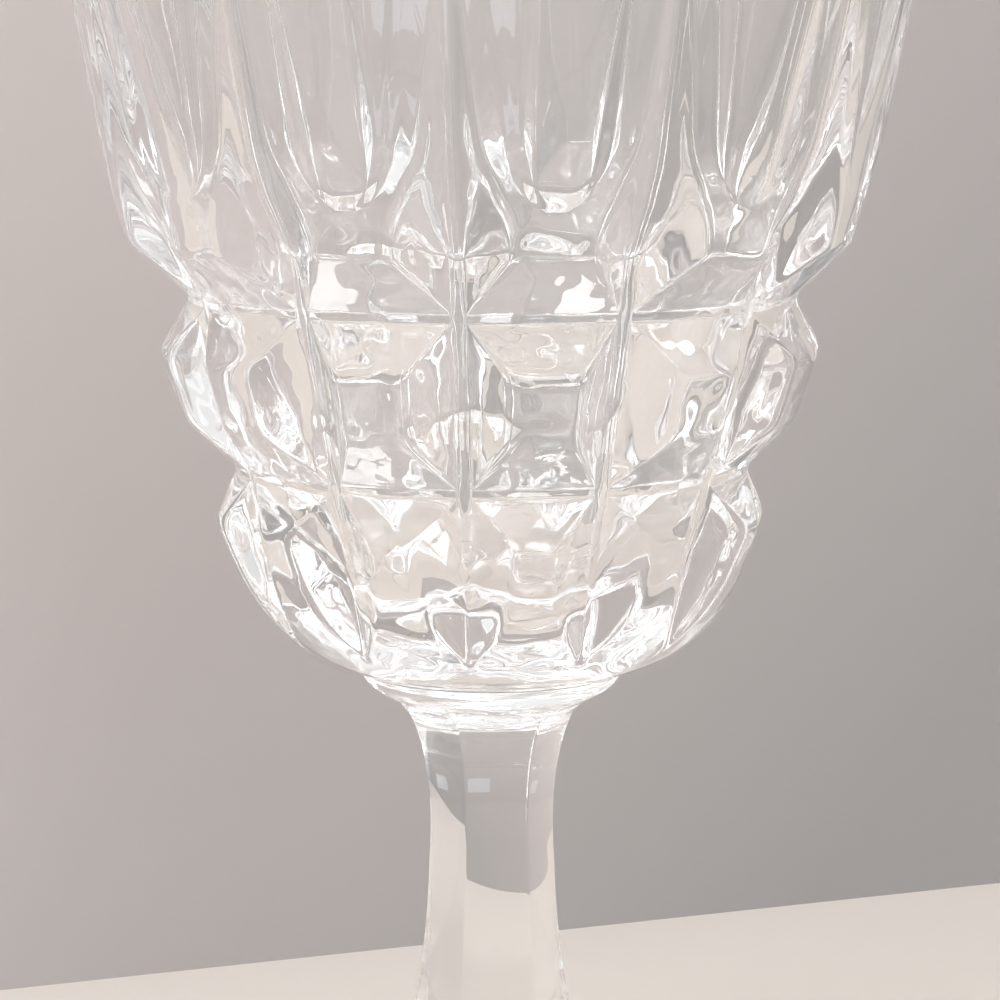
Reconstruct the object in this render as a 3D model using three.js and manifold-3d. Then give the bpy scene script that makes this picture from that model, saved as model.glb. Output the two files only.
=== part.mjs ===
// Crystal wine glass: a pressed bowl with a block pattern, a merese, a six-sided stem and a round foot.
// Units are millimetres, +Z is up, and the origin is the centre of the resting plane under the foot.
// Angles are measured from -Y towards +X. Column centres lie at 0, 30, 60 ... degrees.
import * as THREE from "three";
import { mergeVertices } from "three/addons/utils/BufferGeometryUtils.js";
import Module from "manifold-3d";

// Heights of the stacked pieces. Each piece seats flat on the one below.
const FOOT_HEIGHT = 9.25;
const STEM_LENGTH = 37.25;
const MERESE_HEIGHT = 2.75;
const BOWL_HEIGHT = 90.25;

// Seat radii shared by the two pieces that meet there.
const FOOT_SEAT_RADIUS = 9.75;
const STEM_SEAT_RADIUS = 7.75;
const BOWL_SEAT_RADIUS = 11;
// The corners of the six-sided stem stay this far inside the round seats.
const STEM_INSET = 0.25;

// Foot.
const FOOT_RADIUS = 34;
const FOOT_EDGE_HEIGHT = 3;
const FOOT_SWEEP_PULL = 0.3;
const REST_RING_WIDTH = 9;
const HOLLOW_DEPTH = 1.5;

// Stem: waist radius at the corners, and where the waist lies along the stem.
const STEM_SIDES = 6;
const STEM_WAIST_RADIUS = 5.05;
const STEM_WAIST_SHARE = 0.67;
const STEM_TOP_POWER = 3;
const STEM_FOOT_POWER = 2;

// Bowl, outside. The block zone is a cone between the belly and the shoulder.
const COLUMNS = 12;
const RIM_RADIUS = 40;
const RIM_WALL = 1.75;
const SHOULDER_HEIGHT = 36.35;
const SHOULDER_RADIUS = 30.5;
const BELLY_HEIGHT = 13.1;
const BELLY_RADIUS = 22.9;
const BELLY_BAND = 4.6;
// The wall over the shoulder bends at this share of its height and of its spread.
const WALL_BEND_HEIGHT = 0.28;
const WALL_BEND_SPREAD = 0.46;
// The underside is pulled flat near the seat and upright near the lowest blocks.
const UNDERSIDE_FLAT = 0.5;
const UNDERSIDE_RISE = 0.1;
const UNDERSIDE_UPRIGHT = 0.5;
const UNDERSIDE_BULGE = 0.2;

// Ring grooves, one at each end of the middle row of blocks.
const UPPER_RING_DEPTH = 3.4;
const LOWER_RING_DEPTH = 2.7;
const BEVEL_OVER_RING = 4.75;
const BEVEL_UNDER_RING = 4.2;

// Upright grooves: the floor strip, the slant of the walls, and the spear above the shoulder.
const GROOVE_FLOOR_WIDTH = 1.5;
const GROOVE_WALL_SLANT = 1.02;
const GROOVE_BREAK_IN = 0.1;
const SPEAR_LENGTH = 22;
const SPEAR_DEPTH = 1.9;
const SPEAR_STEP = 3;

// Flutes between the spears: where they start over the shoulder and end along the wall, and their form.
const FLUTE_RISE = 7;
const FLUTE_TOP = 0.8;
const FLUTE_DEPTH = 0.7;
const FLUTE_SPREAD = 0.82;
const FLUTE_TAPER = 0.27;
const FLUTE_END = 6;

// Bowl, inside: glass left behind the ring grooves, and how fast the cavity rounds off at the bottom.
const BASE_THICKNESS = 9.5;
const UPPER_RING_WALL = 2.6;
const LOWER_RING_WALL = 3.9;
const FLARE_WALL = 2.6;
const CAVITY_KNEE_RADIUS = 0.62;
const CAVITY_KNEE_HEIGHT = 0.28;
const CAVITY_FLAT_RADIUS = 0.4;
// Places along the wall where its thickness is set.
const FLARE_AT = 0.45;
const LIP_AT = 0.75;

// Fineness of the round surfaces: a whole number of segments in each column.
const SEGMENTS = COLUMNS * 6;
const CURVE_STEPS = 6;

const stemBase = FOOT_HEIGHT;
const mereseBase = stemBase + STEM_LENGTH;
const bowlBase = mereseBase + MERESE_HEIGHT;
const rimTop = bowlBase + BOWL_HEIGHT;
const stemSideAngle = (2 * Math.PI) / STEM_SIDES;
const columnAngle = (2 * Math.PI) / COLUMNS;

const wasm = await Module();
wasm.setup();

const crystal = new THREE.MeshStandardMaterial({ color: 0xe4e9ea, roughness: 0.05, metalness: 0 });

const at = (radius, height) => new THREE.Vector2(radius, height);

/** A body turned about Z from a profile of radius and height that runs up the outside. */
function turned(profile, segments, startAngle = 0) {
  const geometry = new THREE.LatheGeometry(profile, segments, startAngle);
  geometry.rotateX(Math.PI / 2);
  return closed(geometry);
}

/** The same surface with shared corners and without collapsed faces. */
function closed(geometry) {
  geometry.deleteAttribute("normal");
  geometry.deleteAttribute("uv");
  const merged = mergeVertices(geometry, 1e-4);
  const kept = [];
  const index = merged.index.array;
  for (let i = 0; i < index.length; i += 3) {
    const [a, b, c] = [index[i], index[i + 1], index[i + 2]];
    if (a !== b && b !== c && c !== a) {
      kept.push(a, b, c);
    }
  }
  merged.setIndex(kept);
  return merged;
}

function asSolid(geometry) {
  const vertProperties = geometry.attributes.position.array;
  const triVerts = new Uint32Array(geometry.index.array);
  return new wasm.Manifold(new wasm.Mesh({ numProp: 3, vertProperties, triVerts }));
}

function asGeometry(solid) {
  const mesh = solid.getMesh();
  const geometry = new THREE.BufferGeometry();
  geometry.setAttribute("position", new THREE.BufferAttribute(mesh.vertProperties, 3));
  geometry.setIndex(new THREE.BufferAttribute(mesh.triVerts, 1));
  return geometry;
}

function named(name, geometry) {
  geometry.computeVertexNormals();
  const mesh = new THREE.Mesh(geometry, crystal);
  mesh.name = name;
  return mesh;
}

// Foot: a flat resting ring, a shallow hollow inside it, and a top that sweeps up to the stem seat.
function foot() {
  const ringOuter = FOOT_RADIUS - FOOT_EDGE_HEIGHT / 2;
  const ringInner = ringOuter - REST_RING_WIDTH;
  const hollow = new THREE.QuadraticBezierCurve(
    at(0, HOLLOW_DEPTH),
    at(ringInner / 2, HOLLOW_DEPTH),
    at(ringInner, 0),
  );
  const edge = new THREE.QuadraticBezierCurve(
    at(ringOuter, 0),
    at(FOOT_RADIUS + FOOT_EDGE_HEIGHT / 2, FOOT_EDGE_HEIGHT / 2),
    at(ringOuter, FOOT_EDGE_HEIGHT),
  );
  const sweepRadius = FOOT_SEAT_RADIUS + (ringOuter - FOOT_SEAT_RADIUS) * FOOT_SWEEP_PULL;
  const sweepHeight = FOOT_EDGE_HEIGHT + (FOOT_HEIGHT - FOOT_EDGE_HEIGHT) * FOOT_SWEEP_PULL;
  const sweep = new THREE.QuadraticBezierCurve(
    at(ringOuter, FOOT_EDGE_HEIGHT),
    at(sweepRadius, sweepHeight),
    at(FOOT_SEAT_RADIUS, FOOT_HEIGHT),
  );
  const profile = [
    ...hollow.getPoints(CURVE_STEPS),
    ...edge.getPoints(CURVE_STEPS),
    ...sweep.getPoints(CURVE_STEPS).slice(1),
    at(0, FOOT_HEIGHT),
  ];
  return turned(profile, SEGMENTS);
}

// Stem: six flat sides that spread upwards into the merese and, more slowly, downwards into the foot.
function stem() {
  const waist = STEM_LENGTH * STEM_WAIST_SHARE;
  const topSpread = STEM_SEAT_RADIUS - STEM_INSET - STEM_WAIST_RADIUS;
  const footSpread = FOOT_SEAT_RADIUS - STEM_INSET - STEM_WAIST_RADIUS;
  const lower = (share) =>
    at(STEM_WAIST_RADIUS + footSpread * share ** STEM_FOOT_POWER, stemBase + waist * (1 - share));
  const upper = (share) =>
    at(
      STEM_WAIST_RADIUS + topSpread * share ** STEM_TOP_POWER,
      stemBase + waist + (STEM_LENGTH - waist) * share,
    );
  const profile = [at(0, stemBase)];
  profile.push(at(STEM_WAIST_RADIUS + footSpread, stemBase));
  for (let step = CURVE_STEPS - 1; step > 0; step -= 1) {
    profile.push(lower(step / CURVE_STEPS));
  }
  for (let step = 0; step < CURVE_STEPS; step += 1) {
    profile.push(upper(step / CURVE_STEPS));
  }
  profile.push(at(STEM_WAIST_RADIUS + topSpread, mereseBase), at(0, mereseBase));
  return turned(profile, STEM_SIDES, stemSideAngle / 2);
}

// Merese: a thin disc that widens from the stem to the bowl with a rounded edge.
function merese() {
  const edge = new THREE.QuadraticBezierCurve(
    at(STEM_SEAT_RADIUS, mereseBase),
    at(BOWL_SEAT_RADIUS, mereseBase + MERESE_HEIGHT / 2),
    at(BOWL_SEAT_RADIUS, bowlBase),
  );
  return turned([at(0, mereseBase), ...edge.getPoints(CURVE_STEPS), at(0, bowlBase)], SEGMENTS);
}

// Heights and radii of the bowl that the pattern and the cavity share.
const shoulder = at(SHOULDER_RADIUS, bowlBase + SHOULDER_HEIGHT);
const belly = at(BELLY_RADIUS, bowlBase + BELLY_HEIGHT);
const coneSlope = (shoulder.x - belly.x) / (shoulder.y - belly.y);
const cone = (height, depth = 0) => at(belly.x + coneSlope * (height - belly.y) - depth, height);
const upperRing = cone(shoulder.y - BEVEL_OVER_RING, UPPER_RING_DEPTH);
const lowerRing = cone(belly.y + BEVEL_UNDER_RING, LOWER_RING_DEPTH);
const bellyEdge = cone(belly.y - BELLY_BAND);
const floorSlope = (upperRing.x - lowerRing.x) / (upperRing.y - lowerRing.y);
const grooveFloor = (height) => upperRing.x + floorSlope * (height - upperRing.y) - GROOVE_BREAK_IN;

// The plain wall over the shoulder flares and then straightens towards the rim.
const rimOuter = at(RIM_RADIUS, rimTop - RIM_WALL / 2);
const wallBend = at(
  shoulder.x + (rimOuter.x - shoulder.x) * WALL_BEND_SPREAD,
  shoulder.y + (rimOuter.y - shoulder.y) * WALL_BEND_HEIGHT,
);
const wall = new THREE.QuadraticBezierCurve(shoulder, wallBend, rimOuter);

// Underside: a plain bulge from the lowest blocks to the seat on the merese.
function underside() {
  const drop = bellyEdge.y - bowlBase;
  const spread = bellyEdge.x - BOWL_SEAT_RADIUS;
  return new THREE.CubicBezierCurve(
    at(BOWL_SEAT_RADIUS, bowlBase),
    at(BOWL_SEAT_RADIUS + spread * UNDERSIDE_FLAT, bowlBase + drop * UNDERSIDE_RISE),
    at(bellyEdge.x - spread * UNDERSIDE_BULGE, bellyEdge.y - drop * UNDERSIDE_UPRIGHT),
    bellyEdge,
  );
}

// Cavity: one smooth curve, thick at the base and behind the blocks, thin at the rim.
function cavity() {
  const rimInner = at(RIM_RADIUS - RIM_WALL, rimTop - RIM_WALL / 2);
  const bottom = bowlBase + BASE_THICKNESS;
  const behindLip = wall.getPoint(LIP_AT).sub(at((RIM_WALL + FLARE_WALL) / 2, 0));
  const behindFlare = wall.getPoint(FLARE_AT).sub(at(FLARE_WALL, 0));
  const behindUpper = at(upperRing.x - UPPER_RING_WALL, upperRing.y);
  const behindLower = at(lowerRing.x - LOWER_RING_WALL, lowerRing.y);
  const knee = at(
    behindLower.x * CAVITY_KNEE_RADIUS,
    bottom + (behindLower.y - bottom) * CAVITY_KNEE_HEIGHT,
  );
  const middle = at(CAVITY_FLAT_RADIUS, bottom);
  return new THREE.SplineCurve([rimInner, behindLip, behindFlare, behindUpper, behindLower, knee, middle]);
}

function bowlBlank() {
  const profile = [
    at(0, bowlBase),
    ...underside().getPoints(CURVE_STEPS),
    belly,
    lowerRing,
    cone(lowerRing.y + BEVEL_OVER_RING),
    cone(upperRing.y - BEVEL_UNDER_RING),
    upperRing,
    ...wall.getPoints(CURVE_STEPS * 2),
    at(RIM_RADIUS - RIM_WALL / 2, rimTop),
    ...cavity().getPoints(CURVE_STEPS * 3),
    at(0, bowlBase + BASE_THICKNESS),
  ];
  return asSolid(turned(profile, SEGMENTS));
}

/** A solid through level sections: a height and an outline of side and radius, facing -Y. */
function lofted(sections) {
  const count = sections[0].outline.length;
  const positions = [];
  for (const { height, outline } of sections) {
    for (const [side, radius] of outline) {
      positions.push(side, -radius, height);
    }
  }
  const index = [];
  for (let row = 0; row + 1 < sections.length; row += 1) {
    for (let corner = 0; corner < count; corner += 1) {
      const a = row * count + corner;
      const b = row * count + ((corner + 1) % count);
      index.push(a, a + count, b, b, a + count, b + count);
    }
  }
  const top = (sections.length - 1) * count;
  for (let corner = 1; corner + 1 < count; corner += 1) {
    index.push(0, corner, corner + 1);
    index.push(top, top + corner + 1, top + corner);
  }
  const geometry = new THREE.BufferGeometry();
  geometry.setAttribute("position", new THREE.Float32BufferAttribute(positions, 3));
  geometry.setIndex(index);
  return geometry;
}

/** One upright groove: spear, strip between the blocks, and shield on the underside. */
function grooveCutter() {
  const reach = Math.max(RIM_RADIUS, SHOULDER_RADIUS) + GROOVE_FLOOR_WIDTH;
  const half = GROOVE_FLOOR_WIDTH / 2;
  const fine = half / 4;
  const bottom = bowlBase + (bellyEdge.y - bowlBase) / 8;
  const widening = belly.y - BEVEL_UNDER_RING / 4;
  const spearFoot = shoulder.y + SPEAR_STEP;
  const tip = wallAt(shoulder.y + SPEAR_LENGTH);
  const section = (height, floor, width) => {
    const mouth = width + (reach - floor) * GROOVE_WALL_SLANT;
    const outline = [
      [-width, floor],
      [width, floor],
      [mouth, reach],
      [-mouth, reach],
    ];
    return { height, outline };
  };
  return lofted([
    section(bottom, grooveFloor(bottom), fine),
    section(bellyEdge.y, grooveFloor(bellyEdge.y), fine),
    section(widening, grooveFloor(widening), half),
    section(shoulder.y, grooveFloor(shoulder.y), half),
    section(spearFoot, wallAt(spearFoot).x - SPEAR_DEPTH, half / 2),
    section(tip.y, tip.x, fine),
  ]);
}

/** One shallow flute between two spears, a long tongue with a round lower end. */
function fluteCutter() {
  const length = (rimOuter.y - shoulder.y) * FLUTE_TOP - FLUTE_RISE;
  const steps = CURVE_STEPS + 2;
  const sections = [];
  for (let step = 0; step <= steps; step += 1) {
    const share = (1 - Math.cos((Math.PI * step) / steps)) / 2;
    const point = wallAt(shoulder.y + FLUTE_RISE + length * share);
    const fullness = share ** FLUTE_TAPER * Math.sqrt(1 - share ** FLUTE_END);
    const half = point.x * Math.sin((columnAngle / 2) * FLUTE_SPREAD * fullness) + FLUTE_DEPTH / steps;
    const across = (offset) => {
      const sag = point.x - Math.sqrt(point.x ** 2 - (half * offset) ** 2);
      return [half * offset, point.x - sag - FLUTE_DEPTH * fullness * (1 - offset ** 2)];
    };
    const outline = [
      ...[-1, -0.5, 0, 0.5, 1].map(across),
      [half, point.x + FLUTE_DEPTH],
      [-half, point.x + FLUTE_DEPTH],
    ];
    sections.push({ height: point.y, outline });
  }
  return lofted(sections);
}

/** The point of the wall at a height, from the share of its curve that lies below. */
function wallAt(height) {
  const square = wall.v0.y - 2 * wall.v1.y + wall.v2.y;
  const linear = wall.v1.y - wall.v0.y;
  const share = (Math.sqrt(linear ** 2 + square * (height - wall.v0.y)) - linear) / square;
  return wall.getPoint(share);
}

function bowl() {
  let body = bowlBlank();
  for (let column = 0; column < COLUMNS; column += 1) {
    const groove = grooveCutter();
    groove.rotateZ((column + 0.5) * columnAngle);
    const flute = fluteCutter();
    flute.rotateZ(column * columnAngle);
    body = body.subtract(asSolid(groove)).subtract(asSolid(flute));
  }
  return asGeometry(body);
}

const glass = new THREE.Group();
glass.name = "wine_glass";
glass.add(
  named("foot", foot()),
  named("stem", stem()),
  named("merese", merese()),
  named("bowl", bowl()),
);

export default glass;
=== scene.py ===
"""Crystal wine glass with a cut bowl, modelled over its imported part.

Four pieces of clear glass are built here, from the table up: the foot, the
six-sided stem, the collar and the cut bowl. They are fused to each other on
flat discs, so the faces of those discs let light straight through.
Sizes are in millimetres and become metres when a vertex is placed.
"""

import logging
import math
from contextlib import contextmanager
from dataclasses import dataclass, field
from enum import Enum
from typing import Callable, Iterator

import bpy
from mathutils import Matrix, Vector


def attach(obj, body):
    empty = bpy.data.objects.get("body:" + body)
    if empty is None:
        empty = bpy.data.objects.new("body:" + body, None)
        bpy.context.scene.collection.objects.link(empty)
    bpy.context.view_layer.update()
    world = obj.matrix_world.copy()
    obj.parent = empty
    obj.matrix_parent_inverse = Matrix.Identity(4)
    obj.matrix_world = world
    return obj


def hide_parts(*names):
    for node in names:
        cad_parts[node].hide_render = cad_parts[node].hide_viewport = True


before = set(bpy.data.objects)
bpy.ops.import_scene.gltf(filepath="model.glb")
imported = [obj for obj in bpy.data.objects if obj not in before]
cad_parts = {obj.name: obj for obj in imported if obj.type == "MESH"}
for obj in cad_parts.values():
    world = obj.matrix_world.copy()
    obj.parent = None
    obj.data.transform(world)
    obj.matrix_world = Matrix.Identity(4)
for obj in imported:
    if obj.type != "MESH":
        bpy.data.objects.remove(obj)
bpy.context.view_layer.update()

MM = 0.001
# Metres: vertices closer than this are welded.
WELD_DISTANCE = 2e-6
# Millimetres: how near a vertex lies to the level and to the circle of a fused disc.
SEAT_LEVEL_TOLERANCE = 0.004
SEAT_RADIUS_TOLERANCE = 0.02
log = logging.getLogger("wine_glass")

Point = tuple[float, float]
Colour = tuple[float, float, float]


class Face(Enum):
    """Material slot of a face on a glass piece."""

    GLASS = 0
    SEAM = 1


# Curves


def mix(start: float, end: float, share: float) -> float:
    """Value that lies the given share of the way from start to end."""
    return start + (end - start) * share


def between(start: Point, end: Point, share: float) -> Point:
    """Point that lies the given share of the way from start to end."""
    return mix(start[0], end[0], share), mix(start[1], end[1], share)


def bezier(points: list[Point], share: float) -> Point:
    """Point on a Bezier curve of any degree.

    Args:
        points: control points as (radius, height).
        share: place on the curve, 0 at its start and 1 at its end.

    Returns:
        The point as (radius, height).
    """
    while len(points) > 1:
        points = [between(a, b, share) for a, b in zip(points, points[1:])]
    return points[0]


def bezier_rows(points: list[Point], steps: int, first: int = 0) -> list[Point]:
    """Points at even shares of a Bezier curve.

    Args:
        points: control points as (radius, height).
        steps: steps from the curve's start to its end.
        first: step to begin with.

    Returns:
        The points from that step to the end.
    """
    return [bezier(points, k / steps) for k in range(first, steps + 1)]


def catmull_rom(points: list[Point], share: float) -> Point:
    """Point on a smooth curve that runs through all the given points.

    Args:
        points: points that the curve passes, as (radius, height).
        share: place on the curve, 0 at its start and 1 at its end.

    Returns:
        The point as (radius, height).
    """
    place = share * (len(points) - 1)
    index = min(int(place), len(points) - 2)
    t = place - index
    ends = [points[max(0, min(len(points) - 1, index + k))] for k in (-1, 0, 1, 2)]

    def along(axis: int) -> float:
        """One coordinate of the curve."""
        a, b, c, d = (p[axis] for p in ends)
        return 0.5 * (
            2 * b
            + (c - a) * t
            + (2 * a - 5 * b + 4 * c - d) * t * t
            + (3 * b - a - 3 * c + d) * t**3
        )

    return along(0), along(1)


def corner_rows(
    corners: list[Point],
    softness: list[float],
    most: float = 0.3,
    long_span: float = 2.0,
) -> list[Point]:
    """Rows of a cage that hold the corners of an angular profile.

    Args:
        corners: corner points from the lowest to the highest.
        softness: distance of the holding rows from each corner.
        most: largest share of a span between a corner and its holding row.
        long_span: spans longer than this also get a row midway.

    Returns:
        The corners with the rows between them.
    """
    rows = [corners[0]]
    spans = zip(corners, corners[1:], softness, softness[1:])
    for low, high, low_soft, high_soft in spans:
        length = math.dist(low, high)
        rows.append(between(low, high, min(low_soft / length, most)))
        if length > long_span:
            rows.append(between(low, high, 0.5))
        rows.append(between(low, high, 1 - min(high_soft / length, most)))
        rows.append(high)
    return rows


def on_circle(radius: float, turn: float) -> Point:
    """Point on a level circle, as (side, reach) from where turn is 0."""
    return radius * math.sin(turn), radius * math.cos(turn)


# Hand tools


@contextmanager
def editing(piece: bpy.types.Object, select: str = "VERT") -> Iterator[None]:
    """Edit mode on one piece, left again at the end.

    Args:
        piece: the mesh object to edit.
        select: kind of element that is selected.
    """
    bpy.context.view_layer.objects.active = piece
    bpy.ops.object.mode_set(mode="EDIT")
    bpy.ops.mesh.select_mode(type=select)
    yield
    bpy.ops.object.mode_set(mode="OBJECT")


def put_down() -> None:
    """Leaves nothing selected before a new piece is begun."""
    bpy.ops.object.select_all(action="DESELECT")


def named(name: str) -> bpy.types.Object:
    """Names the primitive that was just added, and its mesh."""
    piece = bpy.context.object
    piece.name = piece.data.name = name
    return piece


def sheet(
    name: str, columns: int, rows: int, place: Callable[[int, int], Vector]
) -> bpy.types.Object:
    """A grid whose vertices are moved to where the sector's surface lies.

    Args:
        name: name of the piece.
        columns: faces across the sector.
        rows: faces along the profile.
        place: gives the position of the vertex at (column, row).

    Returns:
        The sheet, ready to be repeated round the axis.
    """
    put_down()
    bpy.ops.mesh.primitive_grid_add(
        x_subdivisions=columns, y_subdivisions=rows, size=1.0, location=(0, 0, 0)
    )
    piece = named(name)
    for vertex in piece.data.vertices:
        column = round((vertex.co.x + 0.5) * columns)
        row = round((vertex.co.y + 0.5) * rows)
        vertex.co = place(column, row)
    return piece


def repeat_round(piece: bpy.types.Object, count: int) -> None:
    """Repeats a sector round the axis and welds it into one skin.

    Args:
        piece: the sector, which becomes the whole skin.
        count: sectors in the full round.
    """
    with editing(piece):
        bpy.ops.mesh.select_all(action="SELECT")
        bpy.ops.mesh.spin(
            steps=count - 1,
            dupli=True,
            angle=math.tau * (count - 1) / count,
            center=(0, 0, 0),
            axis=(0, 0, 1),
        )
        bpy.ops.mesh.select_all(action="SELECT")
        bpy.ops.mesh.remove_doubles(threshold=WELD_DISTANCE)
        bpy.ops.mesh.normals_make_consistent(inside=False)


def turned(name: str, profile: list[Point], steps: int) -> bpy.types.Object:
    """A round piece drawn out ring by ring along its profile.

    Args:
        name: name of the piece.
        profile: points as (radius, height) from one pole to the other.
        steps: vertices in each ring.

    Returns:
        The closed piece.
    """
    put_down()
    rings = profile[1:-1]
    bpy.ops.mesh.primitive_circle_add(
        vertices=steps, radius=rings[0][0] * MM, fill_type="NOTHING", location=(0, 0, 0)
    )
    piece = named(name)
    with editing(piece):
        bpy.ops.mesh.select_all(action="SELECT")
        bpy.ops.transform.translate(value=(0, 0, rings[0][1] * MM))
        bpy.ops.mesh.extrude_edges_move(TRANSFORM_OT_translate={"value": (0, 0, 0)})
        bpy.ops.mesh.merge(type="CENTER")
        bpy.ops.transform.translate(value=(0, 0, (profile[0][1] - rings[0][1]) * MM))
    pole = max(v.index for v in piece.data.vertices)
    for vertex in piece.data.vertices:
        vertex.select = vertex.index != pole
    with editing(piece):
        for last, ring in zip(rings, rings[1:]):
            bpy.ops.mesh.extrude_edges_move(
                TRANSFORM_OT_translate={"value": (0, 0, (ring[1] - last[1]) * MM)}
            )
            grow = ring[0] / last[0]
            bpy.ops.transform.resize(
                value=(grow, grow, 1), center_override=(0, 0, ring[1] * MM)
            )
        bpy.ops.mesh.extrude_edges_move(TRANSFORM_OT_translate={"value": (0, 0, 0)})
        bpy.ops.mesh.merge(type="CENTER")
        bpy.ops.transform.translate(value=(0, 0, (profile[-1][1] - rings[-1][1]) * MM))
        bpy.ops.mesh.select_all(action="SELECT")
        bpy.ops.mesh.normals_make_consistent(inside=False)
    return piece


def seat_edges(piece: bpy.types.Object, height: float, radius: float) -> None:
    """Selects the edges of the circle where a piece is fused to the next.

    Args:
        piece: the piece, in object mode.
        height: level of the fused disc.
        radius: radius of the fused disc.
    """
    mesh = piece.data
    rim = [
        abs(v.co.z / MM - height) < SEAT_LEVEL_TOLERANCE
        and abs(math.hypot(v.co.x, v.co.y) / MM - radius) < SEAT_RADIUS_TOLERANCE
        for v in mesh.vertices
    ]
    for polygon in mesh.polygons:
        polygon.select = False
    for vertex in mesh.vertices:
        vertex.select = rim[vertex.index]
    for edge in mesh.edges:
        edge.select = all(rim[v] for v in edge.vertices)


def crease_seat(piece: bpy.types.Object, height: float, radius: float) -> None:
    """Keeps the circle of a fused disc sharp when the cage is rounded.

    Args:
        piece: the cage.
        height: level of the fused disc.
        radius: radius of the fused disc.
    """
    seat_edges(piece, height, radius)
    with editing(piece, "EDGE"):
        bpy.ops.transform.edge_crease(value=1.0)


def sharpen_seat(piece: bpy.types.Object, height: float, radius: float) -> None:
    """Keeps the shading of a fused disc apart from the wall beside it.

    Args:
        piece: the finished piece.
        height: level of the fused disc.
        radius: radius of the fused disc.
    """
    seat_edges(piece, height, radius)
    with editing(piece, "EDGE"):
        bpy.ops.mesh.mark_sharp()


def rounded(piece: bpy.types.Object, levels: int) -> None:
    """Rounds a cage with a subdivision surface and applies it.

    Args:
        piece: the cage, which becomes the rounded skin.
        levels: how often each face is divided.
    """
    modifier = piece.modifiers.new("Rounding", "SUBSURF")
    modifier.levels = modifier.render_levels = levels
    bpy.context.view_layer.objects.active = piece
    bpy.ops.object.modifier_apply(modifier=modifier.name)


def close_ends(piece: bpy.types.Object) -> None:
    """Closes the rings that were left open round the axis."""
    with editing(piece):
        bpy.ops.mesh.select_all(action="SELECT")
        bpy.ops.mesh.fill_holes(sides=0)
        bpy.ops.mesh.select_all(action="SELECT")
        bpy.ops.mesh.normals_make_consistent(inside=False)


def smooth(piece: bpy.types.Object) -> None:
    """Shades the whole piece smooth."""
    put_down()
    piece.select_set(True)
    bpy.context.view_layer.objects.active = piece
    bpy.ops.object.shade_smooth()


# Finishes


def node_material(name: str) -> bpy.types.Material:
    """A new material with the usual shader in its node tree."""
    material = bpy.data.materials.new(name)
    material.use_nodes = True
    return material


@dataclass(frozen=True)
class CrystalFinish:
    """Fire-polished clear crystal with the faint unevenness of hand work.

    The waves are counted by the metre and are full between the two lively
    heights. Over the fade below and above they shrink to the calm share.
    Heights and depths are in metres.
    """

    name: str
    tint: Colour = (0.992, 0.995, 0.994)
    bend: float = 1.545
    polish: float = 0.002
    haze: float = 0.006
    wave_size: float = 170.0
    wave_detail: float = 1.0
    wave_depth: float = 0.000005
    lively: tuple[float, float] = (0.06, 0.084)
    fade: float = 0.008
    calm: float = 1.0

    def calmed(
        self,
        tree: bpy.types.NodeTree,
        height: bpy.types.NodeSocket,
        level: bpy.types.NodeSocket,
    ) -> bpy.types.NodeSocket:
        """Calms the waves outside the lively heights.

        Args:
            tree: node tree of the material.
            height: height of the waves.
            level: height of the point over the table.

        Returns:
            The height of the waves that is left.
        """
        low, high = self.lively
        for still, full in ((low - self.fade, low), (high + self.fade, high)):
            band = tree.nodes.new("ShaderNodeMapRange")
            band.inputs["From Min"].default_value = still
            band.inputs["From Max"].default_value = full
            band.inputs["To Min"].default_value = self.calm
            scaled = tree.nodes.new("ShaderNodeMath")
            scaled.operation = "MULTIPLY"
            tree.links.new(level, band.inputs["Value"])
            tree.links.new(height, scaled.inputs[0])
            tree.links.new(band.outputs["Result"], scaled.inputs[1])
            height = scaled.outputs["Value"]
        return height

    def material(self) -> bpy.types.Material:
        """Makes the material on the object's own coordinates."""
        material = node_material(self.name)
        nodes, links = material.node_tree.nodes, material.node_tree.links
        shader = nodes["Principled BSDF"]
        shader.inputs["Base Color"].default_value = (*self.tint, 1.0)
        shader.inputs["IOR"].default_value = self.bend
        shader.inputs["Transmission Weight"].default_value = 1.0
        shader.inputs["Roughness"].default_value = self.polish
        place = nodes.new("ShaderNodeTexCoord")
        wave = nodes.new("ShaderNodeTexNoise")
        wave.inputs["Scale"].default_value = self.wave_size
        wave.inputs["Detail"].default_value = self.wave_detail
        bump = nodes.new("ShaderNodeBump")
        bump.inputs["Strength"].default_value = 1.0
        bump.inputs["Distance"].default_value = self.wave_depth
        polish = nodes.new("ShaderNodeMapRange")
        polish.inputs["To Min"].default_value = self.polish
        polish.inputs["To Max"].default_value = self.haze
        split = nodes.new("ShaderNodeSeparateXYZ")
        links.new(place.outputs["Object"], wave.inputs["Vector"])
        links.new(place.outputs["Object"], split.inputs["Vector"])
        height = self.calmed(material.node_tree, wave.outputs["Fac"], split.outputs["Z"])
        links.new(height, bump.inputs["Height"])
        links.new(bump.outputs["Normal"], shader.inputs["Normal"])
        links.new(wave.outputs["Fac"], polish.inputs["Value"])
        links.new(polish.outputs["Result"], shader.inputs["Roughness"])
        return material


@dataclass(frozen=True)
class SeamFinish:
    """Inside of a fused joint: glass runs on through it, so nothing shows."""

    name: str = "fused_seam"

    def material(self) -> bpy.types.Material:
        """Makes a material that light passes straight through."""
        material = node_material(self.name)
        nodes, links = material.node_tree.nodes, material.node_tree.links
        nodes.remove(nodes["Principled BSDF"])
        clear = nodes.new("ShaderNodeBsdfTransparent")
        links.new(clear.outputs["BSDF"], nodes["Material Output"].inputs["Surface"])
        return material


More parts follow.
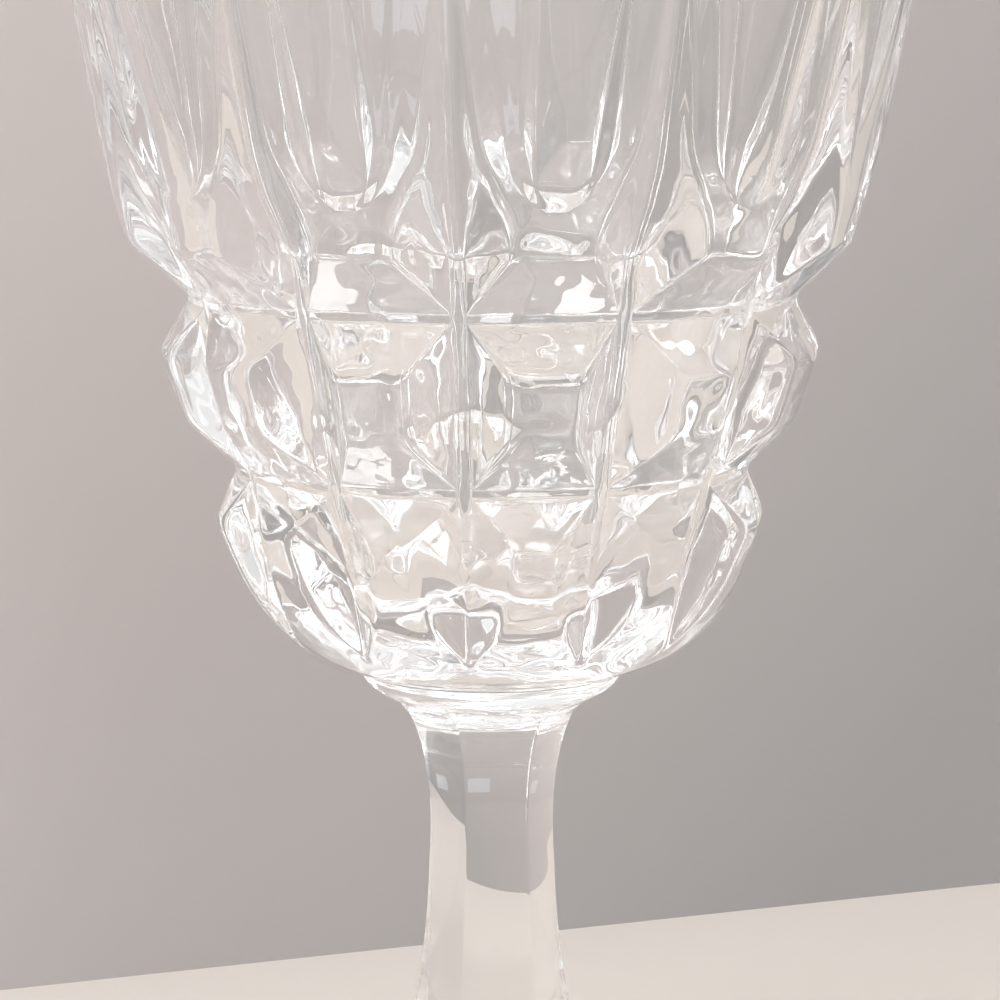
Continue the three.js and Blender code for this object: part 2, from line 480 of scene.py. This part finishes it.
@dataclass(frozen=True)
class StageFinish:
    """Matt paint of the floor or the backdrop, with painted light and shade that may run across it.

    The painted shade runs along a direction on the painted plane, between two distances in metres
    from the plane's middle: lighter at the first, darker at the second, in place of light that
    falls more on one side than the other.
    """

    name: str
    colour: Colour
    # Painted shade: the darker colour at the far end, and the way and span over which the paint
    # darkens to it.
    faded: Colour | None = None
    painted_shade_way: tuple[float, float, float] = (1.0, -1.0, 0.0)
    painted_shade_run: tuple[float, float] = (-0.18, 0.04)
    one_sided: bool = False
    roughness: float = 0.9
    shine: float = 0.1

    def material(self) -> bpy.types.Material:
        """Makes the paint with its painted light and shade, clear from behind where it has one side
        only.
        """
        material = node_material(self.name)
        nodes, links = material.node_tree.nodes, material.node_tree.links
        shader = nodes["Principled BSDF"]
        shader.inputs["Base Color"].default_value = (*self.colour, 1.0)
        shader.inputs["Roughness"].default_value = self.roughness
        shader.inputs["Specular IOR Level"].default_value = self.shine
        # Painted light and shade: the paint goes from its colour to the darker one along a
        # direction, standing in for light that falls unevenly across the plane.
        if self.faded:
            place = nodes.new("ShaderNodeTexCoord")
            along = nodes.new("ShaderNodeVectorMath")
            along.operation = "DOT_PRODUCT"
            along.inputs[1].default_value = self.painted_shade_way
            run = nodes.new("ShaderNodeMapRange")
            run.inputs["From Min"].default_value = self.painted_shade_run[0]
            run.inputs["From Max"].default_value = self.painted_shade_run[1]
            paint = nodes.new("ShaderNodeValToRGB")
            paint.color_ramp.elements[0].color = (*self.colour, 1.0)
            paint.color_ramp.elements[1].color = (*self.faded, 1.0)
            links.new(place.outputs["Object"], along.inputs[0])
            links.new(along.outputs["Value"], run.inputs["Value"])
            links.new(run.outputs["Result"], paint.inputs["Fac"])
            links.new(paint.outputs["Color"], shader.inputs["Base Color"])
        if self.one_sided:
            side = nodes.new("ShaderNodeNewGeometry")
            clear = nodes.new("ShaderNodeBsdfTransparent")
            choice = nodes.new("ShaderNodeMixShader")
            links.new(side.outputs["Backfacing"], choice.inputs["Fac"])
            links.new(shader.outputs["BSDF"], choice.inputs[1])
            links.new(clear.outputs["BSDF"], choice.inputs[2])
            links.new(choice.outputs["Shader"], nodes["Material Output"].inputs["Surface"])
        return material


# Glass pieces


@dataclass
class GlassPiece:
    """What every piece of the glass has in common.

    The seams are the rims of its fused discs as (radius, height).
    """

    node: str
    seams: list[Point] = field(default_factory=list)

    def build(self) -> bpy.types.Object:
        """Models the piece."""
        raise NotImplementedError

    def face_of(self, corners: list[Vector]) -> Face:
        """Tells whether a face lies on a fused disc.

        Args:
            corners: corners of the face in millimetres.

        Returns:
            The slot that the face is given.
        """
        for radius, height in self.seams:
            reach = radius + SEAT_RADIUS_TOLERANCE
            level = all(abs(c.z - height) < SEAT_LEVEL_TOLERANCE for c in corners)
            if level and all(math.hypot(c.x, c.y) < reach for c in corners):
                return Face.SEAM
        return Face.GLASS

    def dress(
        self,
        piece: bpy.types.Object,
        glass: bpy.types.Material,
        seam: bpy.types.Material,
    ) -> None:
        """Gives the piece its finish and its place in the part.

        Args:
            piece: the modelled piece.
            glass: finish of the outside.
            seam: finish of the fused discs.
        """
        smooth(piece)
        piece.data.materials.append(glass)
        piece.data.materials.append(seam)
        for radius, height in self.seams:
            sharpen_seat(piece, height, radius)
        for polygon in piece.data.polygons:
            corners = [piece.data.vertices[v].co / MM for v in polygon.vertices]
            polygon.material_index = self.face_of(corners).value
        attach(piece, "root")
        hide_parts(self.node)


@dataclass
class Foot(GlassPiece):
    """Round foot: a thin disc that sweeps up to the stem, hollow below."""

    node: str = "foot"
    height: float = 9.25
    edge: float = 32.5
    edge_reach: float = 35.5
    edge_height: float = 3.0
    ring_inner: float = 23.5
    hollow: float = 1.5
    sweep: Point = (16.575, 4.875)
    seat: float = 9.75
    steps: int = 160
    hollow_rings: int = 12
    edge_rings: int = 12
    sweep_rings: int = 20

    def __post_init__(self) -> None:
        """The stem stands on the flat top."""
        self.seams = [(self.seat, self.height)]

    def build(self) -> bpy.types.Object:
        """Draws the foot out from the middle of its hollow to the stem."""
        low = [
            (0.0, self.hollow),
            (self.ring_inner / 2, self.hollow),
            (self.ring_inner, 0.0),
        ]
        out = [
            (self.edge, 0.0),
            (self.edge_reach, self.edge_height / 2),
            (self.edge, self.edge_height),
        ]
        up = [(self.edge, self.edge_height), self.sweep, (self.seat, self.height)]
        profile = bezier_rows(low, self.hollow_rings)
        profile += bezier_rows(out, self.edge_rings)
        profile += bezier_rows(up, self.sweep_rings, first=1)
        profile += [(self.seat / 2, self.height), (0.0, self.height)]
        return turned("crystal_foot", profile, self.steps)


@dataclass
class Stem(GlassPiece):
    """Six-sided stem, waisted, that flares to a round at both ends.

    The crown is how far its sides are rounded all along. The half lines are
    degrees from a corner to the middle of a side. The rings on its end faces
    are left open, at a share of the seat, until the cage has been rounded.
    """

    node: str = "stem"
    sides: int = 6
    turn: float = -3.7
    base: float = 9.25
    top: float = 46.5
    waist: float = 34.21
    waist_radius: float = 5.05
    foot_gain: float = 4.45
    collar_gain: float = 2.45
    foot_seat: float = 9.75
    collar_seat: float = 7.75
    round_below: float = 4.5
    round_above: float = 1.3
    crown: float = 0.25
    open_end: float = 0.6
    levels: int = 2
    half_lines: tuple[float, ...] = (0.0, 1.6, 3.6, 6.5, 11.0, 19.0, 30.0)
    heights: tuple[float, ...] = (
        9.25, 9.45, 10.0, 10.8, 11.8, 13.0, 14.5, 16.0, 17.7, 19.5, 21.3, 23.1,
        25.0, 27.0, 29.0, 31.0, 33.0, 35.0, 36.8, 38.4, 39.8, 41.1, 42.2, 43.1,
        43.9, 44.6, 45.2, 45.7, 46.2, 46.5,
    )

    def __post_init__(self) -> None:
        """The foot and the collar are fused to its ends."""
        self.seams = [(self.foot_seat, self.base), (self.collar_seat, self.top)]

    def corner_radius(self, height: float) -> float:
        """Radius of the six corners at a height."""
        if height < self.waist:
            share = (self.waist - height) / (self.waist - self.base)
            return self.waist_radius + self.foot_gain * share**2
        share = (height - self.waist) / (self.top - self.waist)
        return self.waist_radius + self.collar_gain * share**3

    def roundness(self, height: float) -> float:
        """How far the six sides have gone over into a round, 0 to 1."""
        low = 1 - (height - self.base) / self.round_below
        high = 1 - (self.top - height) / self.round_above
        share = max(0.0, low, high)
        return mix(self.crown, 1.0, share * share * (3 - 2 * share))

    def build(self) -> bpy.types.Object:
        """Shapes one side and repeats it round the axis."""
        angles = [math.radians(a) for a in self.half_lines]
        half = math.pi / self.sides
        lines = angles + [2 * half - a for a in reversed(angles[:-1])]
        rows: list[tuple[float, float, float]] = [(self.open_end, self.base, 1.0)]
        rows += [(1.0, z, self.roundness(z)) for z in self.heights]
        rows += [(self.open_end, self.top, 1.0)]

        def place(column: int, row: int) -> Vector:
            """Vertex on the side of the stem."""
            share, height, round_off = rows[row]
            turn = lines[column]
            reach = self.corner_radius(height)
            flat = reach * math.cos(half) / math.cos(half - turn)
            seat = self.foot_seat if height < self.waist else self.collar_seat
            full = mix(reach, seat, round_off)
            radius = share * mix(flat, full, round_off)
            angle = turn + half + math.radians(self.turn)
            x = radius * math.sin(angle)
            y = -radius * math.cos(angle)
            return Vector((x, y, height)) * MM

        piece = sheet("crystal_stem", len(lines) - 1, len(rows) - 1, place)
        repeat_round(piece, self.sides)
        for radius, height in self.seams:
            crease_seat(piece, height, radius)
        rounded(piece, self.levels)
        close_ends(piece)
        return piece


@dataclass
class Collar(GlassPiece):
    """Flat collar between the stem and the bowl."""

    node: str = "merese"
    base: float = 46.5
    top: float = 49.25
    stem_seat: float = 7.75
    bowl_seat: float = 11.0
    steps: int = 160
    edge_rings: int = 14

    def __post_init__(self) -> None:
        """The stem and the bowl are fused to its two discs."""
        self.seams = [(self.stem_seat, self.base), (self.bowl_seat, self.top)]

    def build(self) -> bpy.types.Object:
        """Draws the collar out from the stem's disc to the bowl's."""
        edge = [
            (self.stem_seat, self.base),
            (self.bowl_seat, mix(self.base, self.top, 0.5)),
            (self.bowl_seat, self.top),
        ]
        profile = [(0.0, self.base), (self.stem_seat / 2, self.base)]
        profile += bezier_rows(edge, self.edge_rings)
        profile += [(self.bowl_seat / 2, self.top), (0.0, self.top)]
        return turned("crystal_collar", profile, self.steps)


@dataclass(frozen=True)
class Row:
    """One level ring of the bowl's cage as it stands before it is cut."""

    radius: float
    height: float
    cut: bool = True


@dataclass
class Bowl(GlassPiece):
    """Bowl with three rows of cut blocks, spears and shallow flutes.

    One column reaches from the middle of an upright groove to the next. Each
    half of it has lip lines, from the groove's middle to just past its lip,
    and evenly spaced lines or a flute's lines from there to its own middle.
    Points are (radius, height), and the spear's are (rise, depth).
    """

    node: str = "bowl"
    columns: int = 12
    half_lines: int = 10
    lip_lines: int = 6
    levels: int = 1
    # Fused disc and underside
    base: float = 49.25
    seat: float = 11.0
    seat_rings: tuple[float, float] = (8.0, 10.5)
    under_pull: tuple[Point, Point] = ((16.2, 50.1), (19.3, 53.5))
    under_shares: tuple[float, ...] = (
        0.04, 0.12, 0.22, 0.32, 0.42, 0.52, 0.62, 0.72, 0.82, 0.91, 0.965,
    )
    # Blocks, from the belly to the shoulder, and the level grooves between them
    belly_edge: Point = (21.4, 57.75)
    belly: Point = (23.25, 62.2)
    block_low: Point = (25.95, 70.9)
    block_high: Point = (27.8, 76.4)
    shoulder: Point = (30.5, 85.6)
    ring_heights: tuple[float, float] = (66.55, 80.85)
    ring_width: float = 0.8
    floor_at: Point = (25.55, 80.85)
    floor_slope: float = 0.278
    # Upright grooves, finer below and with walls that lie flatter there
    groove_sink: float = 0.1
    groove_half: float = 0.5
    fine_half: float = 0.19
    fine_top: float = 61.3
    wall_slant: float = 1.15
    low_slant: float = 1.5
    low_slant_top: float = 64.0
    wall_slant_base: float = 70.0
    # Spears, in which the upright grooves run out above the shoulder
    spear_slant: float = 2.0
    spear_slant_rise: float = 6.4
    spear: tuple[Point, ...] = (
        (0.0, 3.85), (2.4, 3.0), (5.0, 1.95), (6.9, 1.45), (8.4, 1.0), (29.4, 0.0),
    )
    # Flutes between the spears: half angle in degrees and its gain by millimetre of
    # rise, a rounded lower end, flat faces with narrow edges, and a fade at the top
    flute_base: float = 89.5
    flute_top: float = 128.0
    flute_angle: float = 5.5
    flute_gain: float = 0.155
    flute_corner: float = 5.0
    flute_fade: float = 16.0
    flute_run: float = 7.0
    flute_depth: float = 0.4
    flute_flat: float = 20.0
    flute_edge: float = 0.25
    # Wall above the shoulder and rim
    wall_pull: Point = (34.87, 100.44)
    rim: Point = (40.0, 138.625)
    rim_rise: float = 0.875
    rim_inset: float = 0.02
    rim_round: Point = (0.25, 0.28)
    # Softness of the edges: where the cage has its holding lines
    softness: float = 1.4
    ring_softness: float = 0.45
    lip_softness: float = 1.0
    hold_share: float = 0.3
    least_hold: float = 0.1
    floor_bend: float = 0.4
    # Lip lines where nothing is cut: gathered at first, spread out farther on
    least_cut: float = 0.02
    gathered: float = 0.17
    gathered_spread: float = 0.05
    spread_run: float = 2.5
    # Cavity, from the rim down to the middle
    cavity_steps: int = 16
    cavity: tuple[Point, ...] = (
        (38.25, 138.6), (35.3, 121.0), (32.0, 103.7), (22.95, 80.85),
        (17.67, 66.55), (13.4, 59.4), (8.0, 56.8), (0.4, 56.2),
    )
    # Rings of the wall, closer together where a flute begins or ends
    wall_heights: tuple[float, ...] = (
        86.2, 87.0, 88.0, 89.0, 89.5, 89.8, 90.3, 91.0, 92.0, 93.2, 94.8, 96.8,
        99.0, 101.5, 104.0, 106.5, 109.0, 111.5, 113.5, 115.0, 117.0, 119.5,
        122.0, 124.2, 126.0, 127.2, 127.9, 129.5, 132.0, 135.0, 137.3,
    )

    def __post_init__(self) -> None:
        """The collar is fused to its flat bottom."""
        self.seams = [(self.seat, self.base)]

    def wall_radius(self, height: float) -> float:
        """Outer radius of the uncut wall above the shoulder."""
        low, pull, high = self.shoulder, self.wall_pull, self.rim
        a = low[1] - 2 * pull[1] + high[1]
        b = 2 * (pull[1] - low[1])
        c = low[1] - height
        share = (-b + math.sqrt(b * b - 4 * a * c)) / (2 * a)
        return bezier([low, pull, high], share)[0]

    def groove(self, height: float) -> tuple[float, float]:
        """Upright groove at a height.

        Args:
            height: level of the row.

        Returns:
            Radius of the groove's floor and half the floor's width.
        """
        foot = self.shoulder[1]
        if height <= foot:
            floor = self.ring_floor(height)[0] - self.groove_sink
            low = self.belly_edge[1]
            share = min(1.0, max(0.0, (height - low) / (self.fine_top - low)))
            return floor, mix(self.fine_half, self.groove_half, share)
        rise = height - foot
        for (start, deep), (end, shallow) in zip(self.spear, self.spear[1:]):
            if rise <= end or end == self.spear[-1][0]:
                depth = mix(deep, shallow, (rise - start) / (end - start))
                break
        share = min(1.0, rise / self.spear[-1][0])
        return self.wall_radius(height) - depth, mix(self.groove_half, self.fine_half, share)

    def slant(self, height: float) -> float:
        """Sideways run of a groove's wall for each step outwards."""
        rise = height - self.shoulder[1]
        if rise > 0:
            share = min(1.0, rise / self.spear_slant_rise)
            return mix(self.wall_slant, self.spear_slant, share)
        share = (height - self.low_slant_top) / (self.wall_slant_base - self.low_slant_top)
        return mix(self.low_slant, self.wall_slant, min(1.0, max(0.0, share)))

    def flute(self, height: float) -> tuple[float, float, float]:
        """Shallow flute at a height.

        Args:
            height: level of the row.

        Returns:
            Half the flute's angle, its depth, and how far it has faded.
        """
        rise, drop = height - self.flute_base, self.flute_top - height
        if rise <= 0 or drop <= 0:
            return 0.0, 0.0, 1.0
        low = 1 - min(1.0, rise / self.flute_corner)
        faded = (1 - min(1.0, drop / self.flute_fade)) ** 2
        fullness = math.sqrt(1 - low**2)
        wide = self.flute_angle + self.flute_gain * rise
        ramp = min(1.0, rise / self.flute_run)
        sunk = self.flute_depth * ramp * (2 - ramp) * (1 - faded) ** 2
        return math.radians(wide) * fullness, sunk, faded

    def cut_lines(self, row: Row) -> tuple[list[Point], float]:
        """Lines of the cage from the groove's middle to just past its lip.

        Args:
            row: the level ring.

        Returns:
            Points as (side, reach), and the angle of the last of them.
        """
        even = math.pi / self.columns / self.half_lines
        floor, half = self.groove(row.height)
        depth = row.radius - floor
        if depth < self.least_cut:
            spread = min(1.0, -depth / self.spread_run + self.gathered_spread)
            lines = range(self.lip_lines)
            turns = [mix(self.gathered * k / row.radius, even * k, spread) for k in lines]
            return [on_circle(row.radius, turn) for turn in turns], turns[-1]
        slant = self.slant(row.height)
        lean = math.atan(1 / slant)
        span = row.radius * math.sqrt(1 + 1 / slant**2)
        lip = math.acos((floor - half / slant) / span) - lean
        side = row.radius * math.sin(lip)
        hold = min(self.lip_softness, self.hold_share * (side - half))
        bend = min(hold, self.floor_bend * half)
        points = [(0.0, floor), (half - bend, floor)]
        for x in (half + bend, side - hold):
            points.append((x, floor + (x - half) / slant))
        past = lip + max(hold, self.least_hold) / row.radius
        points += [on_circle(row.radius, turn) for turn in (lip, past)]
        return points, past

    def section(self, row: Row) -> list[Point]:
        """Half a column of one level ring.

        Args:
            row: the level ring.

        Returns:
            Points as (side, reach) from the groove's middle to the column's.
        """
        half = math.pi / self.columns
        if not row.cut:
            turns = [half * k / self.half_lines for k in range(self.half_lines + 1)]
            return [on_circle(row.radius, turn) for turn in turns]
        points, past = self.cut_lines(row)
        wide, deep, faded = self.flute(row.height)
        rest = self.half_lines + 1 - self.lip_lines
        turns = [mix(past, half, k / rest) for k in range(1, rest + 1)]
        if wide > 0:
            edge = half - wide
            room = self.hold_share * min(wide, edge - past)
            hold = min(self.flute_edge / row.radius, room)
            lines = [mix(past, edge - hold, 0.5), edge - hold, edge + hold]
            lines += [mix(edge + hold, half, 0.5), half]
            turns = [mix(line, turn, faded) for line, turn in zip(lines, turns)]
        for turn in turns:
            sunk = 0.0
            if wide > 0:
                across = min(1.0, (half - turn) / wide)
                sunk = deep * (1 - across**self.flute_flat)
            points.append(on_circle(row.radius - sunk, turn))
        return points

    def ring_floor(self, height: float) -> Point:
        """Point on the floor of the level grooves."""
        return self.floor_at[0] + self.floor_slope * (height - self.floor_at[1]), height

    def rows(self) -> list[Row]:
        """Level rings from the fused disc up, over the rim and down inside."""
        rows = [Row(r, self.base, False) for r in (*self.seat_rings, self.seat)]
        under = [(self.seat, self.base), *self.under_pull, self.belly_edge]
        rows += [Row(*bezier(under, share)) for share in self.under_shares]
        half = self.ring_width / 2
        lower, upper = self.ring_heights
        block, ring = self.softness, self.ring_softness
        held = [
            (self.belly_edge, block / 2),
            (self.belly, block),
            (self.ring_floor(lower - half), ring),
            (self.ring_floor(lower + half), ring),
            (self.block_low, block),
            (self.block_high, block),
            (self.ring_floor(upper - half), ring),
            (self.ring_floor(upper + half), ring),
            (self.shoulder, block / 2),
        ]
        corners = [corner for corner, _ in held]
        softness = [soft for _, soft in held]
        rows += [Row(*point) for point in corner_rows(corners, softness)]
        rows += [Row(self.wall_radius(z), z) for z in self.wall_heights]
        out, top = self.rim
        inner = self.cavity[0][0]
        crown = top + self.rim_rise
        inset, drop = self.rim_round
        rows += [
            Row(out - self.rim_inset, top, False),
            Row(out - inset, crown - drop, False),
            Row(mix(out, inner, 0.5), crown, False),
            Row(inner + inset, crown - drop, False),
        ]
        shares = [k / self.cavity_steps for k in range(self.cavity_steps + 1)]
        cavity = list(self.cavity)
        rows += [Row(*catmull_rom(cavity, share), False) for share in shares]
        return rows

    def build(self) -> bpy.types.Object:
        """Shapes one column of the cage and repeats it round the axis."""
        rows = self.rows()
        sections = [self.section(row) for row in rows]
        half = math.pi / self.columns

        def place(column: int, row: int) -> Vector:
            """Vertex on the skin of one column."""
            left = column <= self.half_lines
            line = column if left else 2 * self.half_lines - column
            side, reach = sections[row][line]
            turn = -half if left else half
            side = side if left else -side
            x = reach * math.sin(turn) + side * math.cos(turn)
            y = -reach * math.cos(turn) + side * math.sin(turn)
            return Vector((x, y, rows[row].height)) * MM

        piece = sheet("crystal_bowl", 2 * self.half_lines, len(rows) - 1, place)
        repeat_round(piece, self.columns)
        crease_seat(piece, self.base, self.seat)
        rounded(piece, self.levels)
        close_ends(piece)
        return piece


# Studio


@dataclass(frozen=True)
class Lamp:
    """One flat lamp that faces the glass, with its place and size in metres.

    Right and ahead are counted from the glass as the camera sees it, and
    ahead is negative on the camera's side. The power is in watts.
    """

    name: str
    right: float
    ahead: float
    height: float
    width: float
    tall: float
    power: float
    colour: Colour = (1.0, 1.0, 1.0)


@dataclass
class Studio:
    """Plain floor, a backdrop with painted light and shade, soft light and the camera of the
    picture.

    Places and distances are in millimetres, the two planes in metres.
    """

    azimuth: float = -9.2
    distance: float = 376.0
    eye: float = 110.0
    aim: float = 63.5
    aim_right: float = 0.7
    lens: float = 162.0
    sensor: float = 36.0
    nearest: float = 10.0
    floor_size: float = 4.0
    floor_colour: Colour = (0.67, 0.62, 0.575)
    wall_size: float = 3.0
    wall_distance: float = 116.0
    wall_turn: float = 26.0
    # Backdrop colour at its upper left, painted lighter there, and at its lower right, painted
    # darker: painted light and shade for lamp light that falls more on the upper left.
    wall_colour: Colour = (0.675, 0.625, 0.615)
    wall_painted_shade: Colour = (0.4, 0.385, 0.38)
    sky_low: Colour = (0.36, 0.345, 0.345)
    sky_high: Colour = (1.0, 1.0, 1.0)
    sky_rise: float = 0.55
    sky_strength: float = 0.96
    bounces: int = 48
    clear_bounces: int = 64
    lamps: tuple[Lamp, ...] = (
        Lamp("soft_box", -0.4, -0.3, 1.1, width=0.4, tall=0.4, power=5.0),
        Lamp("side_box", 0.75, -0.1, 0.95, width=0.3, tall=0.3, power=2.2),
        Lamp("window", 0.9, -2.66, 0.68, width=0.86, tall=0.68, power=6.4, colour=(0.8, 0.88, 1.0)),
    )

    def ahead(self) -> Vector:
        """Level direction in which the camera looks."""
        turn = math.radians(self.azimuth)
        return Vector((-math.sin(turn), math.cos(turn), 0.0))

    def right(self) -> Vector:
        """Level direction to the right of the picture."""
        ahead = self.ahead()
        return Vector((ahead.y, -ahead.x, 0.0))

    def build_stage(self) -> None:
        """Lays the floor and stands the backdrop behind the glass."""
        put_down()
        bpy.ops.mesh.primitive_plane_add(size=self.floor_size, location=(0, 0, 0))
        floor = named("studio_floor")
        paint = StageFinish("floor_paint", self.floor_colour)
        floor.data.materials.append(paint.material())
        put_down()
        bpy.ops.mesh.primitive_plane_add(size=self.wall_size, location=(0, 0, 0))
        wall = named("studio_backdrop")
        wall.location = self.ahead() * self.wall_distance * MM
        turn = math.radians(self.azimuth) + math.radians(self.wall_turn)
        wall.rotation_euler = (math.pi / 2, 0, turn)
        # The backdrop is painted lighter at its upper left and darker at its lower right: painted
        # light and shade.
        paint = StageFinish("backdrop_painted_light_and_shade", self.wall_colour, self.wall_painted_shade, one_sided=True)
        wall.data.materials.append(paint.material())

    def build_light(self) -> None:
        """Lights the stage evenly, brighter from above, and hangs the lamps."""
        world = bpy.context.scene.world or bpy.data.worlds.new("studio_world")
        bpy.context.scene.world = world
        world.use_nodes = True
        nodes, links = world.node_tree.nodes, world.node_tree.links
        place = nodes.new("ShaderNodeTexCoord")
        split = nodes.new("ShaderNodeSeparateXYZ")
        sky = nodes.new("ShaderNodeValToRGB")
        low, high = sky.color_ramp.elements
        low.position = 0.0
        low.color = (*self.sky_low, 1.0)
        high.position = self.sky_rise
        high.color = (*self.sky_high, 1.0)
        links.new(place.outputs["Generated"], split.inputs["Vector"])
        links.new(split.outputs["Z"], sky.inputs["Fac"])
        links.new(sky.outputs["Color"], nodes["Background"].inputs["Color"])
        nodes["Background"].inputs["Strength"].default_value = self.sky_strength
        for lamp in self.lamps:
            self.hang(lamp)

    def hang(self, lamp: Lamp) -> None:
        """Hangs one lamp so that it faces the glass."""
        put_down()
        bpy.ops.object.light_add(type="AREA", location=(0, 0, 0))
        light = bpy.context.object
        light.name = lamp.name
        light.data.shape = "RECTANGLE"
        light.data.size = lamp.width
        light.data.size_y = lamp.tall
        light.data.energy = lamp.power
        light.data.color = lamp.colour
        level = self.right() * lamp.right + self.ahead() * lamp.ahead
        light.location = level + Vector((0, 0, lamp.height))
        self.point_at(light, Vector((0, 0, self.aim * MM)))

    def point_at(self, watcher: bpy.types.Object, target: Vector) -> None:
        """Turns a lamp or the camera towards a point."""
        line = target - watcher.location
        watcher.rotation_euler = line.to_track_quat("-Z", "Y").to_euler()

    def build_camera(self) -> None:
        """Sets the camera at the picture's place and angle."""
        put_down()
        bpy.ops.object.camera_add(location=(0, 0, 0))
        camera = bpy.context.object
        camera.name = "picture_camera"
        camera.data.lens = self.lens
        camera.data.sensor_width = self.sensor
        camera.data.clip_start = self.nearest * MM
        camera.location = self.ahead() * -self.distance * MM + Vector((0, 0, self.eye * MM))
        self.point_at(camera, self.right() * self.aim_right * MM + Vector((0, 0, self.aim * MM)))
        bpy.context.scene.camera = camera

    def build_view(self) -> None:
        """Plain view settings and enough bounces for thick glass."""
        scene = bpy.context.scene
        scene.view_settings.view_transform = "Standard"
        scene.cycles.max_bounces = self.bounces
        scene.cycles.transmission_bounces = self.bounces
        scene.cycles.glossy_bounces = self.bounces
        scene.cycles.transparent_max_bounces = self.clear_bounces
        scene.cycles.blur_glossy = 0.0


def main() -> None:
    """Builds the glass from the table up, then the studio round it."""
    logging.basicConfig(level=logging.INFO, format="%(name)s: %(message)s")
    plain = CrystalFinish("crystal_plain").material()
    uneven = CrystalFinish("crystal_cut", wave_size=240.0, wave_depth=0.00024, calm=0.05)
    cut = uneven.material()
    seam = SeamFinish().material()
    pieces = ((Foot(), plain), (Stem(), plain), (Collar(), plain), (Bowl(), cut))
    for part, glass in pieces:
        piece = part.build()
        part.dress(piece, glass, seam)
        piece.data.calc_loop_triangles()
        log.info("%s: %d triangles", piece.name, len(piece.data.loop_triangles))
    studio = Studio()
    studio.build_stage()
    studio.build_light()
    studio.build_camera()
    studio.build_view()


if __name__ == "__main__":
    main()
